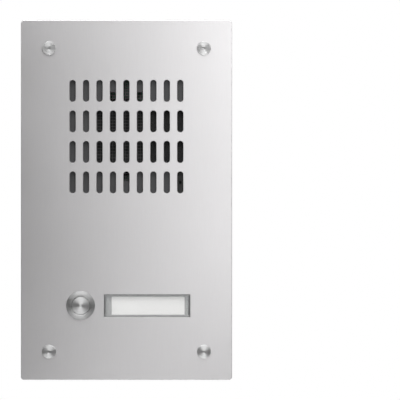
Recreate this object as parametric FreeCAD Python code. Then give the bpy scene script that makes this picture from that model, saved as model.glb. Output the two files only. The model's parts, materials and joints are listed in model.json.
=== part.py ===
import FreeCAD, Part
import math
import os

# Flush-mounted door intercom panel, in millimetres.
# X is to the right, Z is up and +Y points into the wall. The origin is the centre of the four
# wall-screw holes, on the rear outer face of the wall box, so the whole panel lies at y < 0.

# ---- driving dimensions: depths (y) ------------------------------------------------------------
SHEET = 1.5                                    # folded steel sheet of the wall box
BOX_DEPTH = 46.0                               # rear face of the box to the front of its flange
SEAL = 1.5                                     # compressed foam seal
PLATE = 3.0                                    # stainless front plate
BAFFLE = 2.5                                   # moulded plate behind the sound slots
Y_BOX_FLOOR = -SHEET
Y_FLANGE = -BOX_DEPTH
Y_BACK = Y_FLANGE - SEAL                       # back of the front plate
Y_FRONT = Y_BACK - PLATE                       # visible face of the front plate
Y_BAFFLE = Y_BACK + BAFFLE                     # back of the baffle

# ---- driving dimensions: outlines (x, z) -------------------------------------------------------
PANEL_W, PANEL_H, PANEL_CORNER = 135.0, 230.0, 2.0
PANEL_EDGE = 0.4                               # rounding of the plate's front edge
SLOT_EDGE = 0.2                                # chamfer round the slots and the name cut-out
BOX_W, BOX_H, BOX_CORNER = 118.0, 213.0, 2.5
FLANGE = 6.0                                   # flange width outside the box walls
SEAL_INSET = 2.5                               # from the box wall in to the seal's inner edge
SCREW_X, SCREW_Z = 49.5, 97.0                  # panel screws, from the centre
WALL_X, WALL_Z, WALL_HOLE_R = 35.0, 75.0, 2.75

SLOT_W, SLOT_H = 3.7, 14.0
SLOT_COLUMNS, SLOT_PITCH_X = 9, 8.6
SLOT_ROWS, SLOT_PITCH_Z = 4, 19.5
SLOTS_Z = 40.5                                 # centre of the slot field

# ---- call button (for a 16 mm hole) ------------------------------------------------------------
BUTTON_X, BUTTON_Z = -29.3, -67.5
BUTTON_HOLE_R = 8.0
BEZEL_R, BEZEL_H = 9.2, 1.8
CAP_R = 5.8
BUTTON_BORE_R = 5.88                           # front bore, round the cap
BARREL_R, BARREL_BORE_R = 7.9, 7.1
BARREL_END = Y_BACK + 15.0
SHOULDER = Y_FRONT + 2.0                       # step in the bore that stops the plunger's collar
COLLAR_R, COLLAR_T = 7.0, 1.2
GROOVE_R = 5.2                                 # bottom of the cap's O-ring groove
STEM_R = 1.9
SWITCH_FRONT = Y_BACK + 6.5

# ---- name window -------------------------------------------------------------------------------
NAME_X, NAME_Z = 13.2, -67.6
NAME_W, NAME_H = 55.0, 14.5
LABEL_W, LABEL_H, LABEL_T = 46.6, 11.5, 0.2
LABEL_OFFSET = 0.6
LABEL_GAP = 0.05                               # between the label and the lens in front of it
NAME_GAP = 0.3                                 # between the lens and the cut-out, each side
LEG_X, LEG_T, LEG_H, LEG_LENGTH = 26.7, 1.0, 12.0, 5.2
LEG_GAP = 0.1                                  # between a leg and its pocket, each side
LIGHT_W, LIGHT_H = 44.0, 9.5                   # opening that the lamps shine through
LAMP_BOARD_FRONT, LAMP_BOARD_T = Y_BACK + 6.5, 1.0

# ---- speech module -----------------------------------------------------------------------------
BAFFLE_HALF_W = 52.5
BAFFLE_Z0, BAFFLE_Z1 = -12.0, 84.0
COVER_HALF_W = 44.0
COVER_WALL = 1.5
COVER_Z0, COVER_Z1 = -10.5, 82.5
COVER_REAR = -6.0
BOARD_HALF_W = 40.0
BOARD_Z0, BOARD_Z1 = -8.5, 80.5
BOARD_FRONT, BOARD_REAR = -21.0, -19.4
BOSS_X, BOSS_Z0, BOSS_Z1 = 34.0, -4.0, 76.0
BOSS_R = 3.0
POCKET_DEPTH = 1.9                             # recess of the baffle that holds the absorber pad

# ---- loudspeaker -------------------------------------------------------------------------------
SPEAKER_X, SPEAKER_Z = -3.9, SLOTS_Z
SPEAKER_R = 25.0
MESH_T = 0.5
GASKET_T = 1.5
SPEAKER_FRONT = Y_BAFFLE + MESH_T + GASKET_T   # front face of the basket's flange
SPEAKER_FIX_R = 27.6                           # circle of the four fixing bosses
BASKET_FLOOR = SPEAKER_FRONT + 9.0
COIL_R0, COIL_R1 = 4.75, 5.05
POLE_R = 4.5

# ---- microphone --------------------------------------------------------------------------------
MIC_X = SLOT_PITCH_X * 4
MIC_Z = SLOTS_Z - SLOT_PITCH_Z * 1.5
CAPSULE_R, CAPSULE_H = 4.85, 5.5

# ---- fasteners ---------------------------------------------------------------------------------
M3_STUD_R, M3_HOLE_R = 1.5, 1.7
M3_NUT_AF, M3_NUT_H = 5.5, 2.4
M3_WASHER_R, M3_WASHER_H = 3.5, 0.5
M3_BORE_R = 1.6
STUD_LENGTH = 7.0
MODULE_STUD_X = 48.5
MODULE_STUDS_Z = (BAFFLE_Z0 + 5.5, BAFFLE_Z1 - 5.5)
NAME_STUD_OFFSET = 15.5

# ---- circuit board components ------------------------------------------------------------------
TERMINAL_PITCH, TERMINAL_WAYS = 5.08, 6
TERMINAL_Z0, TERMINAL_Z1 = 71.0, BOARD_Z1
TERMINAL_TOP = BOARD_REAR + 11.0
TERMINAL_SCREW_Z = TERMINAL_Z0 + 4.5
TRIMMERS_X, TRIMMER_Z = (-28.0, -14.0), 12.0
TRIMMER_BODY, TRIMMER_H = 9.6, 5.0
ROTOR_R, ROTOR_BORE_R, ROTOR_SEAT = 2.45, 2.55, 2.0
SOCKETS_X, SOCKET_W = (-20.0, -12.0), 5.5
SPEAKER_SOCKET_X = -36.0
LEAD_R = 0.6

CABLE_R = 4.0                                  # bore of the cable grommet
CABLE_Y = -23.0

ALONG_Y = FreeCAD.Vector(0, 1, 0)
ALONG_Z = FreeCAD.Vector(0, 0, 1)
CORNERS = [(-1, -1), (1, -1), (1, 1), (-1, 1)]


# ---- shape helpers -----------------------------------------------------------------------------
def vec(x, y, z):
    return FreeCAD.Vector(x, y, z)


def rod(x, z, y0, y1, radius):
    """Cylinder along Y."""
    return Part.makeCylinder(radius, y1 - y0, vec(x, y0, z), ALONG_Y)


def ring(x, z, y0, y1, inner, outer):
    return rod(x, z, y0, y1, outer).cut(rod(x, z, y0 - 1, y1 + 1, inner))


def block(x0, x1, y0, y1, z0, z1):
    return Part.makeBox(x1 - x0, y1 - y0, z1 - z0, vec(x0, y0, z0))


def block_at(x, z, width, height, y0, y1):
    """Block centred on (x, z)."""
    return block(x - width / 2, x + width / 2, y0, y1, z - height / 2, z + height / 2)


def circle_wire(x, z, y, radius):
    return Part.Wire([Part.makeCircle(radius, vec(x, y, z), ALONG_Y)])


def rounded_wire(x, z, width, height, radius, y):
    """Rectangle with round corners, in the plane at y."""
    half_w, half_h = width / 2, height / 2
    edges = []
    for index, (sx, sz) in enumerate(CORNERS):
        nx, nz = CORNERS[(index + 1) % 4]
        centre = vec(x + sx * (half_w - radius), y, z + sz * (half_h - radius))
        following = vec(x + nx * (half_w - radius), y, z + nz * (half_h - radius))
        turn_in = vec(sx * radius, 0, 0) if sx != nx else vec(0, 0, sz * radius)
        side = vec(0, 0, sz * radius) if sx != nx else vec(sx * radius, 0, 0)
        if radius > 0:
            middle = centre + vec(sx * radius, 0, sz * radius) * math.sqrt(0.5)
            edges.append(Part.Arc(centre + turn_in, middle, centre + side).toShape())
        edges.append(Part.LineSegment(centre + side, following + side).toShape())
    return Part.Wire(edges)


def rounded_plate(x, z, width, height, radius, y0, y1):
    face = Part.Face(rounded_wire(x, z, width, height, radius, y0))
    return face.extrude(vec(0, y1 - y0, 0))


def slot_wire(x, z, width, height, y):
    """Upright slot with round ends."""
    half_w, straight = width / 2, height / 2 - width / 2
    corners = [vec(x - half_w, y, z - straight), vec(x + half_w, y, z - straight),
               vec(x + half_w, y, z + straight), vec(x - half_w, y, z + straight)]
    low = Part.Arc(corners[0], vec(x, y, z - height / 2), corners[1]).toShape()
    right = Part.LineSegment(corners[1], corners[2]).toShape()
    high = Part.Arc(corners[2], vec(x, y, z + height / 2), corners[3]).toShape()
    left = Part.LineSegment(corners[3], corners[0]).toShape()
    return Part.Wire([low, right, high, left])


def rect_wire(x, z, width, height, y):
    w, h = width / 2, height / 2
    points = [vec(x - w, y, z - h), vec(x + w, y, z - h), vec(x + w, y, z + h), vec(x - w, y, z + h)]
    return Part.makePolygon(points + points[:1])


def plate_with_holes(outline, holes, thickness):
    """Flat plate from an outline and its holes, all in one plane."""
    face = Part.makeFace([outline] + holes, "Part::FaceMakerBullseye")
    return face.extrude(vec(0, thickness, 0))


def turned(x, z, profile, arcs=()):
    """Solid turned about the Y line through (x, z), from a closed profile of (radius, y) corners.

    An arc is (side, radius, y): that side of the profile, counted from 0, bends through the point.
    """
    corners = [vec(r, y, 0) for r, y in profile]
    bends = {side: vec(r, y, 0) for side, r, y in arcs}
    edges = []
    for side, (start, end) in enumerate(zip(corners, corners[1:] + corners[:1])):
        if side in bends:
            edges.append(Part.Arc(start, bends[side], end).toShape())
        else:
            edges.append(Part.LineSegment(start, end).toShape())
    solid = Part.Face(Part.Wire(edges)).revolve(vec(0, 0, 0), ALONG_Y, 360)
    return solid.translated(vec(x, 0, z))


def falling_arc(side, level_r, end_r, y, fall):
    """Arc for turned(): it leaves (level_r, y) square to the axis and has dropped by `fall` at end_r."""
    half_run = (end_r - level_r) / 2
    arc_r = (4 * half_run ** 2 + fall ** 2) / (2 * fall)
    return side, level_r + half_run, y + arc_r - math.sqrt(arc_r ** 2 - half_run ** 2)


def hexagon(x, z, across_flats, y0, y1):
    radius = across_flats / math.sqrt(3)
    points = []
    for corner in range(6):
        angle = math.radians(60 * corner)
        points.append(vec(x + radius * math.cos(angle), y0, z + radius * math.sin(angle)))
    face = Part.Face(Part.makePolygon(points + points[:1]))
    return face.extrude(vec(0, y1 - y0, 0))


def all_cut(shape, tools):
    return shape.cut(Part.makeCompound(tools))


def joined(shapes):
    return shapes[0].fuse(shapes[1:]).removeSplitter()


def lead(points, radius=LEAD_R):
    """Insulated wire: straight runs joined by tangent arcs, each as large as its two runs allow."""
    corners = [vec(*p) for p in points]
    edges = []
    start = corners[0]
    for before, corner, after in zip(corners, corners[1:], corners[2:]):
        run_in = corner - before
        run_out = after - corner
        turn = run_in.getAngle(run_out)
        reach = 0.45 * min(run_in.Length, run_out.Length)
        arc_radius = reach / math.tan(turn / 2)
        unit_in = FreeCAD.Vector(run_in).normalize()
        unit_out = FreeCAD.Vector(run_out).normalize()
        enter = corner - unit_in * reach
        leave = corner + unit_out * reach
        inward = (unit_out - unit_in).normalize()
        middle = corner + inward * (arc_radius / math.cos(turn / 2) - arc_radius)
        edges.append(Part.LineSegment(start, enter).toShape())
        edges.append(Part.Arc(enter, middle, leave).toShape())
        start = leave
    edges.append(Part.LineSegment(start, corners[-1]).toShape())
    path = Part.Wire(edges)
    section = Part.Wire([Part.makeCircle(radius, corners[0], corners[1] - corners[0])])
    return path.makePipeShell([section], True, False)


# ---- front plate and wall box ------------------------------------------------------------------
def slot_places():
    places = []
    for row in range(SLOT_ROWS):
        z = SLOTS_Z + ((SLOT_ROWS - 1) / 2 - row) * SLOT_PITCH_Z
        for column in range(SLOT_COLUMNS):
            places.append(((column - (SLOT_COLUMNS - 1) / 2) * SLOT_PITCH_X, z))
    return places


def screw_places():
    return [(sx * SCREW_X, sz * SCREW_Z) for sx, sz in CORNERS]


def make_front_panel():
    screw_hole_r = 2.25
    outline = rounded_wire(0, 0, PANEL_W, PANEL_H, PANEL_CORNER, Y_FRONT)
    holes = [slot_wire(x, z, SLOT_W, SLOT_H, Y_FRONT) for x, z in slot_places()]
    holes += [circle_wire(x, z, Y_FRONT, screw_hole_r) for x, z in screw_places()]
    holes.append(circle_wire(BUTTON_X, BUTTON_Z, Y_FRONT, BUTTON_HOLE_R))
    holes.append(rect_wire(NAME_X, NAME_Z, NAME_W, NAME_H, Y_FRONT))
    plate = plate_with_holes(outline, holes, PLATE)
    plate = plate.makeFillet(PANEL_EDGE, front_edges(plate, outer=True))
    return plate.makeChamfer(SLOT_EDGE, front_edges(plate, outer=False))


def front_edges(plate, outer):
    """Edges in the visible face: of the plate's outline, or of its slots and name cut-out."""
    outline_x = PANEL_W / 2 - PANEL_CORNER - 0.1
    outline_z = PANEL_H / 2 - PANEL_CORNER - 0.1
    round_holes = [(BUTTON_X, BUTTON_Z)] + screw_places()
    chosen = []
    for edge in plate.Edges:
        box = edge.BoundBox
        reach_x = max(abs(box.XMin), abs(box.XMax))
        reach_z = max(abs(box.ZMin), abs(box.ZMax))
        in_outline = reach_x > outline_x or reach_z > outline_z
        middle = box.Center
        in_round_hole = min(math.hypot(middle.x - x, middle.z - z) for x, z in round_holes) < 0.1
        if box.YMax < Y_FRONT + 0.01 and not in_round_hole and in_outline == outer:
            chosen.append(edge)
    return chosen


def make_panel_screws():
    """M4 machine screws with a low flat turned head and a small hexagon socket."""
    head_r, head_h, rim = 4.4, 1.4, 0.2
    shank_r, shank_length, point = 1.95, 15.0, 0.35
    socket_af, socket_depth = 1.5, 0.9
    top = Y_FRONT - head_h
    screws = []
    for x, z in screw_places():
        profile = [(0, top), (head_r - rim, top), (head_r, top + rim), (head_r, Y_FRONT),
                   (shank_r, Y_FRONT), (shank_r, Y_FRONT + shank_length - point),
                   (shank_r - point, Y_FRONT + shank_length), (0, Y_FRONT + shank_length)]
        screw = turned(x, z, profile, [falling_arc(1, head_r - rim, head_r, top, rim)])
        screws.append(screw.cut(hexagon(x, z, socket_af, top, top + socket_depth)))
    return Part.makeCompound(screws)


def make_panel_seal():
    inner_w = BOX_W - 2 * SEAL_INSET
    inner_h = BOX_H - 2 * SEAL_INSET
    outline = rounded_wire(0, 0, BOX_W + 2 * FLANGE, BOX_H + 2 * FLANGE, BOX_CORNER, Y_BACK)
    opening = rounded_wire(0, 0, inner_w, inner_h, BOX_CORNER, Y_BACK)
    return plate_with_holes(outline, [opening], SEAL)


def knockout_grooves():
    """Ring grooves that mark the punched knock-outs in the floor and in the four side walls."""
    radius, width, depth = 8.0, 0.7, 0.8
    spread_x, spread_z, far = 30.0, 50.0, 2.0
    places = []
    for sign in (-1, 1):
        places.append((vec(sign * spread_x, CABLE_Y, BOX_H / 2 - depth), ALONG_Z))
        places.append((vec(sign * spread_x, CABLE_Y, -BOX_H / 2 + depth), vec(0, 0, -1)))
        places.append((vec(0, -depth, sign * spread_z), ALONG_Y))
        for z in (-spread_z, spread_z):
            places.append((vec(sign * (BOX_W / 2 - depth), CABLE_Y, z), vec(sign, 0, 0)))
    places.append((vec(0, CABLE_Y, -BOX_H / 2 + depth), vec(0, 0, -1)))
    grooves = []
    for place, direction in places:
        outer = Part.makeCylinder(radius + width, far, place, direction)
        grooves.append(outer.cut(Part.makeCylinder(radius, far, place, direction)))
    return grooves


def corner_seams():
    """Seam and spot-weld dimples where the end walls' tabs lap the side walls, at all four corners."""
    seam_w, seam_depth = 0.3, 0.5
    weld_r, weld_depth, weld_inset, weld_pitch = 2.0, 0.3, 5.0, 14.0
    marks = []
    for sx, sz in CORNERS:
        seam_x = sx * (BOX_W / 2 - BOX_CORNER)
        seam_z = sz * (BOX_H / 2 - seam_depth / 2)
        marks.append(block_at(seam_x, seam_z, seam_w, seam_depth, Y_FLANGE + SHEET, 1))
        weld_x = sx * (BOX_W / 2 - BOX_CORNER - weld_inset)
        for y in (CABLE_Y - weld_pitch, CABLE_Y, CABLE_Y + weld_pitch):
            low_end = vec(weld_x, y, sz * (BOX_H / 2 - weld_depth))
            marks.append(Part.makeCylinder(weld_r, 2, low_end, vec(0, 0, sz)))
    return marks


def make_wall_box():
    spigot_hole_r, grommet_hole_r = 3.05, 10.0
    inner_corner = BOX_CORNER - SHEET
    shell = rounded_plate(0, 0, BOX_W, BOX_H, BOX_CORNER, Y_FLANGE, 0)
    rim = rounded_plate(0, 0, BOX_W + 2 * FLANGE, BOX_H + 2 * FLANGE, BOX_CORNER,
                        Y_FLANGE, Y_FLANGE + SHEET)
    inside = rounded_plate(0, 0, BOX_W - 2 * SHEET, BOX_H - 2 * SHEET, inner_corner,
                           Y_FLANGE - 1, Y_BOX_FLOOR)
    tools = [inside]
    tools += [rod(sx * WALL_X, sz * WALL_Z, Y_BOX_FLOOR - 1, 1, WALL_HOLE_R) for sx, sz in CORNERS]
    tools += [rod(x, z, Y_BOX_FLOOR - 1, 1, spigot_hole_r) for x, z in screw_places()]
    tools.append(Part.makeCylinder(grommet_hole_r, 10, vec(0, CABLE_Y, BOX_H / 2 - 5), ALONG_Z))
    box = all_cut(joined([shell, rim]), tools)
    return all_cut(box, knockout_grooves() + corner_seams())


def make_box_pillars():
    """Round tapped pillars, each staked into the box floor by a spigot."""
    pillar_r, spigot_r, tapped_r, tapped_depth = 4.5, 3.0, 2.0, 14.0
    pillars = []
    for x, z in screw_places():
        profile = [(0, Y_BACK + tapped_depth + 1), (tapped_r, Y_BACK + tapped_depth), (tapped_r, Y_BACK),
                   (pillar_r, Y_BACK), (pillar_r, Y_BOX_FLOOR), (spigot_r, Y_BOX_FLOOR),
                   (spigot_r, 0), (0, 0)]
        pillars.append(turned(x, z, profile))
    return Part.makeCompound(pillars)


def make_cable_grommet():
    """Rubber grommet in the top wall, with a chamfered bore for one cable."""
    lip_r, groove_r, lip, chamfer = 12.5, 9.95, 1.75, 0.6
    inside, outside = BOX_H / 2 - SHEET, BOX_H / 2
    profile = [(CABLE_R, inside - lip), (lip_r - chamfer, inside - lip), (lip_r, inside - lip + chamfer),
               (lip_r, inside), (groove_r, inside), (groove_r, outside), (lip_r, outside),
               (lip_r, outside + lip - chamfer), (lip_r - chamfer, outside + lip), (CABLE_R, outside + lip)]
    points = [vec(r, CABLE_Y, z) for r, z in profile]
    face = Part.Face(Part.makePolygon(points + points[:1]))
    return face.revolve(vec(0, CABLE_Y, 0), ALONG_Z, 360)


# ---- fixings of the module and of the name holder ----------------------------------------------
def stud_places():
    """(x, z, y of the surface that the nut clamps)."""
    places = [(sx * MODULE_STUD_X, z, Y_BAFFLE) for z in MODULE_STUDS_Z for sx in (-1, 1)]
    places += [(NAME_X, NAME_Z + s * NAME_STUD_OFFSET, Y_BACK + COVER_WALL) for s in (-1, 1)]
    return places


def make_weld_studs():
    return Part.makeCompound([rod(x, z, Y_BACK, Y_BACK + STUD_LENGTH, M3_STUD_R)
                              for x, z, _ in stud_places()])


def make_stud_washers():
    return Part.makeCompound([ring(x, z, y, y + M3_WASHER_H, M3_BORE_R, M3_WASHER_R)
                              for x, z, y in stud_places()])


def make_stud_nuts():
    nuts = []
    for x, z, y in stud_places():
        low = y + M3_WASHER_H
        nut = hexagon(x, z, M3_NUT_AF, low, low + M3_NUT_H)
        nuts.append(nut.cut(rod(x, z, low - 1, low + M3_NUT_H + 1, M3_STUD_R + 0.05)))
    return Part.makeCompound(nuts)


# ---- speech module: baffle, mesh, foam, cover --------------------------------------------------
def boss_places():
    return [(sx * BOSS_X, z) for sx in (-1, 1) for z in (BOSS_Z0, BOSS_Z1)]


def speaker_fixings():
    step = SPEAKER_FIX_R * math.sqrt(0.5)
    return [(SPEAKER_X + sx * step, SPEAKER_Z + sz * step) for sx, sz in CORNERS]


def sound_window(y0, y1):
    """Stepped opening in the baffle, as rectangles (x0, x1, z0, z1) behind the slots."""
    field = (-20.3, 12.7, 20.6, 60.4)              # four columns of the two middle rows
    step = (-12.7, 12.7, 60.0, 69.0)               # three columns, lower half of the top row
    spine = (-4.3, 4.3, 12.1, 78.0)                # the middle column, over all the rows
    return joined([block(x0, x1, y0, y1, z0, z1) for x0, x1, z0, z1 in (field, step, spine)])


def absorber_block(y0, y1, gap=0.0):
    """Block behind the three right columns of the two middle rows of slots."""
    x0, x1, z0, z1 = 13.9, 38.9, 20.0, 61.0
    return block(x0 + gap, x1 - gap, y0, y1, z0 + gap, z1 - gap)


def make_module_baffle():
    pilot_r, pilot_depth, short_pilot_depth = 1.25, 12.0, 2.2
    boss_small_r = 2.4
    mic_slot_w, mic_slot_h = 7.0, 17.0
    centre_z = (BAFFLE_Z0 + BAFFLE_Z1) / 2
    plate = rounded_plate(0, centre_z, 2 * BAFFLE_HALF_W, BAFFLE_Z1 - BAFFLE_Z0, 4, Y_BACK, Y_BAFFLE)
    bosses = [rod(x, z, Y_BAFFLE, BOARD_FRONT, BOSS_R) for x, z in boss_places()]
    bosses += [rod(x, z, Y_BAFFLE, SPEAKER_FRONT + 1, boss_small_r) for x, z in speaker_fixings()]
    body = joined([plate] + bosses)
    tools = [sound_window(Y_BACK - 1, Y_BAFFLE + 1)]
    tools.append(absorber_block(Y_BACK - 1, Y_BACK + POCKET_DEPTH))
    mic_slot = Part.Face(slot_wire(MIC_X, MIC_Z, mic_slot_w, mic_slot_h, Y_BACK - 1))
    tools.append(mic_slot.extrude(vec(0, BAFFLE + 2, 0)))
    tools += [rod(x, z, BOARD_FRONT - pilot_depth, BOARD_FRONT + 1, pilot_r) for x, z in boss_places()]
    tools += [rod(x, z, SPEAKER_FRONT - short_pilot_depth, SPEAKER_FRONT + 2, pilot_r)
              for x, z in speaker_fixings()]
    tools += [rod(sx * MODULE_STUD_X, z, Y_BACK - 1, Y_BAFFLE + 1, M3_HOLE_R)
              for sx in (-1, 1) for z in MODULE_STUDS_Z]
    return all_cut(body, tools)


def make_sound_mesh():
    """Woven dust mesh behind the sound window: a thin plate of square openings."""
    width, height, centre_z = 52.0, 70.0, 45.0
    pitch, opening, margin = 2.9, 2.1, 2.0
    fixing_clearance = 2.7
    outline = rect_wire(SPEAKER_X, centre_z, width, height, Y_BAFFLE)
    holes = [circle_wire(x, z, Y_BAFFLE, fixing_clearance) for x, z in speaker_fixings()]
    columns = int((width - 2 * margin) / pitch)
    rows = int((height - 2 * margin) / pitch)
    for row in range(rows):
        z = centre_z + (row - (rows - 1) / 2) * pitch
        for column in range(columns):
            x = SPEAKER_X + (column - (columns - 1) / 2) * pitch
            clear = min(math.hypot(x - fx, z - fz) for fx, fz in speaker_fixings())
            if clear > fixing_clearance + opening:
                holes.append(rect_wire(x, z, opening, opening, Y_BAFFLE))
    return plate_with_holes(outline, holes, MESH_T)


def make_absorber_pad():
    return absorber_block(Y_BACK + 0.3, Y_BACK + POCKET_DEPTH, gap=0.1)


def make_module_cover():
    """Rear cover of the module, with openings for the terminals, the leads and the trimmers."""
    tube_r, screw_hole_r, access_r = 3.0, 1.6, 3.0
    inner = COVER_HALF_W - COVER_WALL
    inner_floor = COVER_REAR - COVER_WALL
    centre_z = (COVER_Z0 + COVER_Z1) / 2
    height = COVER_Z1 - COVER_Z0
    outer = rounded_plate(0, centre_z, 2 * COVER_HALF_W, height, 3, Y_BAFFLE, COVER_REAR)
    hollow = rounded_plate(0, centre_z, 2 * inner, height - 2 * COVER_WALL, 1.5, Y_BAFFLE - 1, inner_floor)
    tubes = [rod(x, z, BOARD_REAR, inner_floor, tube_r) for x, z in boss_places()]
    body = joined([outer.cut(hollow)] + tubes)
    tools = [rod(x, z, BOARD_REAR - 1, COVER_REAR + 1, screw_hole_r) for x, z in boss_places()]
    tools += [rod(x, TRIMMER_Z, inner_floor - 1, COVER_REAR + 1, access_r) for x in TRIMMERS_X]
    half_block = TERMINAL_PITCH * TERMINAL_WAYS / 2 + 1.5
    tools.append(block(-half_block, half_block, BOARD_REAR - 1, COVER_REAR + 1,
                       TERMINAL_Z0 - 1.5, COVER_Z1 + 1))
    tools.append(block(SOCKETS_X[0] - 4, SOCKETS_X[1] + 4, BOARD_FRONT, inner_floor - 2,
                       COVER_Z0 - 1, COVER_Z0 + COVER_WALL + 1))
    return all_cut(body, tools)


def make_module_screws():
    head_r, head_h, shank_r, length = 2.8, 2.2, 1.2, 25.0
    screws = []
    for x, z in boss_places():
        head = rod(x, z, COVER_REAR, COVER_REAR + head_h, head_r)
        shank = rod(x, z, COVER_REAR - length, COVER_REAR, shank_r)
        cross = [block_at(x, z, 3.4, 0.8, COVER_REAR + 1.1, COVER_REAR + 3),
                 block_at(x, z, 0.8, 3.4, COVER_REAR + 1.1, COVER_REAR + 3)]
        screws.append(all_cut(joined([head, shank]), cross))
    return Part.makeCompound(screws)


# ---- loudspeaker -------------------------------------------------------------------------------
def make_speaker_gasket():
    return ring(SPEAKER_X, SPEAKER_Z, Y_BAFFLE + MESH_T, SPEAKER_FRONT, 22, SPEAKER_R)


def make_speaker_screws():
    head_r, head_h, shank_r, shank = 3.5, 1.6, 1.2, 2.8
    seat = SPEAKER_FRONT + 1
    screws = []
    for x, z in speaker_fixings():
        screw = joined([rod(x, z, seat, seat + head_h, head_r), rod(x, z, seat - shank, seat, shank_r)])
        screws.append(screw.cut(block_at(x, z, 4.5, 0.8, seat + 0.9, seat + 3)))
    return Part.makeCompound(screws)


def make_speaker_basket():
    flange_in, wall, floor_r, hub_r = 21.5, 0.8, 15.2, 6.2
    rear = SPEAKER_FRONT + 1
    profile = [(flange_in, SPEAKER_FRONT), (SPEAKER_R, SPEAKER_FRONT), (SPEAKER_R, rear),
               (23.2, rear), (floor_r, BASKET_FLOOR - wall), (floor_r, BASKET_FLOOR),
               (hub_r, BASKET_FLOOR), (hub_r, BASKET_FLOOR - wall), (floor_r - 0.9, BASKET_FLOOR - wall),
               (flange_in, rear)]
    basket = turned(SPEAKER_X, SPEAKER_Z, profile)
    windows = []
    for quarter in range(4):
        window = block(14.8, 22.6, rear + 1.2, BASKET_FLOOR - 1.6, -8, 8)
        window.rotate(vec(0, 0, 0), ALONG_Y, 90 * quarter)
        windows.append(window.translated(vec(SPEAKER_X, 0, SPEAKER_Z)))
    return all_cut(basket, windows)


def make_speaker_surround():
    """Half-roll edge between the cone and the basket's flange."""
    inner, outer, roll, thick = 19.0, 21.5, 1.0, 0.3
    root = SPEAKER_FRONT + 0.6
    middle = (inner + outer) / 2
    profile = [(inner, root - thick), (outer, root - thick), (outer, root), (inner, root)]
    arcs = [(0, middle, root - roll - thick / 2), (2, middle, root - roll + thick)]
    return turned(SPEAKER_X, SPEAKER_Z, profile, arcs)


def make_speaker_cone():
    edge, depth, thick = 19.0, 4.8, 0.35
    front = SPEAKER_FRONT + 0.4
    profile = [(COIL_R1, front + depth), (edge, front),
               (edge, front + thick), (COIL_R1, front + depth + thick)]
    return turned(SPEAKER_X, SPEAKER_Z, profile)


def make_dust_cap():
    """Shallow spherical dome over the voice coil, standing on the cone."""
    sphere_r, thick, rise = 10.0, 0.3, 2.0
    rim = SPEAKER_FRONT + 4.8
    centre = vec(SPEAKER_X, rim + sphere_r - rise, SPEAKER_Z)
    shell = Part.makeSphere(sphere_r, centre).cut(Part.makeSphere(sphere_r - thick, centre))
    return shell.common(rod(SPEAKER_X, SPEAKER_Z, rim - rise - 1, rim, sphere_r))


def make_voice_coil():
    front = SPEAKER_FRONT + 4.6
    return ring(SPEAKER_X, SPEAKER_Z, front, BASKET_FLOOR + 1.4, COIL_R0, COIL_R1)


def make_speaker_spider():
    """Corrugated centring disc from the voice coil to the basket's floor."""
    thick, low, high = 0.3, BASKET_FLOOR - 1.15, BASKET_FLOOR - 2.0
    centre = [(COIL_R1, low), (6.8, high), (8.0, low), (9.2, high), (10.4, low), (11.6, high),
              (12.6, BASKET_FLOOR - 0.95), (14.2, BASKET_FLOOR - 0.95)]
    front = [(r, y - thick / 2) for r, y in centre]
    rear = [(r, y + thick / 2) for r, y in reversed(centre)]
    return turned(SPEAKER_X, SPEAKER_Z, front + rear)


def make_speaker_top_plate():
    return ring(SPEAKER_X, SPEAKER_Z, BASKET_FLOOR, BASKET_FLOOR + 2, 5.3, 15)


def make_speaker_magnet():
    return ring(SPEAKER_X, SPEAKER_Z, BASKET_FLOOR + 2, BASKET_FLOOR + 8, 8, 16)


def make_speaker_yoke():
    base_r, base_t, bevel = 14.0, 2.0, 0.6
    base = BASKET_FLOOR + 8
    profile = [(0, BASKET_FLOOR), (POLE_R, BASKET_FLOOR), (POLE_R, base), (base_r, base),
               (base_r, base + base_t - bevel), (base_r - bevel, base + base_t), (0, base + base_t)]
    return turned(SPEAKER_X, SPEAKER_Z, profile)


def make_speaker_tags():
    """Strip glued to the back of the flange, with two solder tags."""
    seat = SPEAKER_FRONT + 1
    left = SPEAKER_X - 31.5
    strip = block(left, SPEAKER_X - 23.6, seat, seat + 0.8, SPEAKER_Z - 4, SPEAKER_Z + 4)
    tags = [block(left - 1, left + 3, seat + 0.8, seat + 1.2, SPEAKER_Z + s - 0.8, SPEAKER_Z + s + 0.8)
            for s in (-2.2, 2.2)]
    return Part.makeCompound([strip] + tags)


def make_speaker_leads():
    start, straight = SPEAKER_FRONT + 2.2, 4.5
    tag_x, socket_y = SPEAKER_X - 31.0, BOARD_FRONT - 6
    leads = []
    for side in (-1, 1):
        z = SPEAKER_Z + side * 2.2
        socket_z = SPEAKER_Z + side * 1.2
        leads.append(lead([(tag_x, start, z), (tag_x, start + straight, z),
                           (SPEAKER_SOCKET_X, socket_y - straight, socket_z),
                           (SPEAKER_SOCKET_X, socket_y, socket_z)]))
    return Part.makeCompound(leads)


# ---- microphone --------------------------------------------------------------------------------
def make_mic_boot():
    """Rubber boot: a plug in the baffle and a cup behind it, with a sound hole to the capsule."""
    plug = Part.Face(slot_wire(MIC_X, MIC_Z, 6.9, 16.9, Y_BACK)).extrude(vec(0, BAFFLE, 0))
    cup = rod(MIC_X, MIC_Z, Y_BAFFLE, Y_BAFFLE + 6.8, 7)
    cavity = rod(MIC_X, MIC_Z, Y_BAFFLE + 1, Y_BAFFLE + 8, CAPSULE_R + 0.05)
    sound_hole = rod(MIC_X, MIC_Z, Y_BACK - 1, Y_BAFFLE + 2, 1)
    return all_cut(joined([plug, cup]), [cavity, sound_hole])


def make_microphone():
    front = Y_BAFFLE + 1
    can = rod(MIC_X, MIC_Z, front, front + CAPSULE_H, CAPSULE_R)
    port = rod(MIC_X, MIC_Z, front - 1, front + 0.5, 1)
    rear_recess = ring(MIC_X, MIC_Z, front + CAPSULE_H - 0.4, front + CAPSULE_H + 1, 3.9, 4.3)
    return all_cut(can, [port, rear_recess])


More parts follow.
